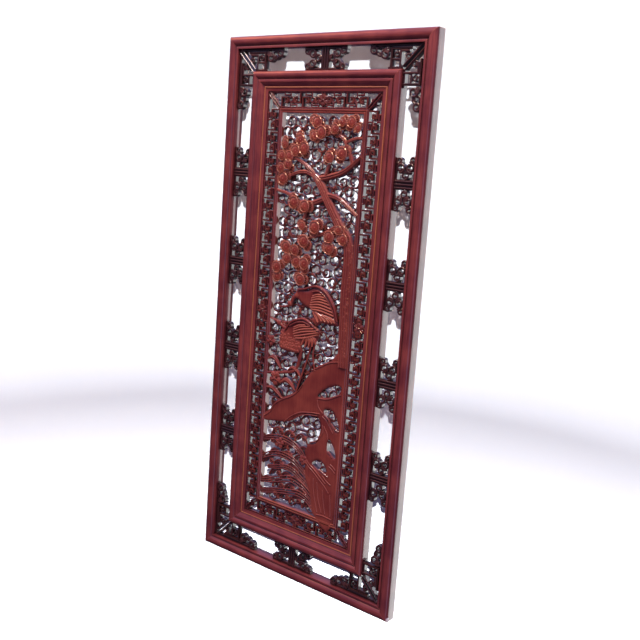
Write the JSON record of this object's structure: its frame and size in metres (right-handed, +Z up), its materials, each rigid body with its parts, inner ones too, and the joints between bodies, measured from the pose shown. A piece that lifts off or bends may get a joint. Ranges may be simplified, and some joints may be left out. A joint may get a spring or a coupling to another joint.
{
  "type": "carved wooden wall panel",
  "caption": "Tall pierced wall panel of red-brown lacquered wood: two moulded frames joined by fretwork around a carved relief of pine, cranes and rocks.",
  "frame": {"origin": "on the flat back of the outer frame's top rail, halfway along it and halfway up it, where the panel meets the wall", "axes": "+Z up the panel's height, +X to the right as seen from the front, +Y into the wall; the carved face looks along -Y"},
  "size_m": [0.55, 0.03, 1.2199],
  "materials": {
    "frame_wood": "glossy red-brown lacquer over close-grained hardwood, with the grain along each member",
    "fret_wood": "dark red-brown lacquer, darker in the recesses",
    "carving_wood": "semi-gloss red-brown lacquer, rubbed lighter on the raised carving and darker in the cuts"
  },
  "bodies": {
    "root": {"outer_rail_top": "frame_wood", "outer_rail_bottom": "frame_wood", "outer_stile_left": "frame_wood", "outer_stile_right": "frame_wood", "inner_rail_top": "frame_wood", "inner_rail_bottom": "frame_wood", "inner_stile_left": "frame_wood", "inner_stile_right": "frame_wood", "corner_bracket_top_left": "fret_wood", "corner_bracket_top_right": "fret_wood", "corner_bracket_bottom_right": "fret_wood", "corner_bracket_bottom_left": "fret_wood", "spacer_top": "fret_wood", "spacer_bottom": "fret_wood", "spacer_left_1": "fret_wood", "spacer_left_2": "fret_wood", "spacer_left_3": "fret_wood", "spacer_left_4": "fret_wood", "spacer_right_1": "fret_wood", "spacer_right_2": "fret_wood", "spacer_right_3": "fret_wood", "spacer_right_4": "fret_wood", "border_fret_top": "fret_wood", "border_fret_bottom": "fret_wood", "border_fret_left": "fret_wood", "border_fret_right": "fret_wood", "carved_panel": "carving_wood"}
  },
  "joints": []
}
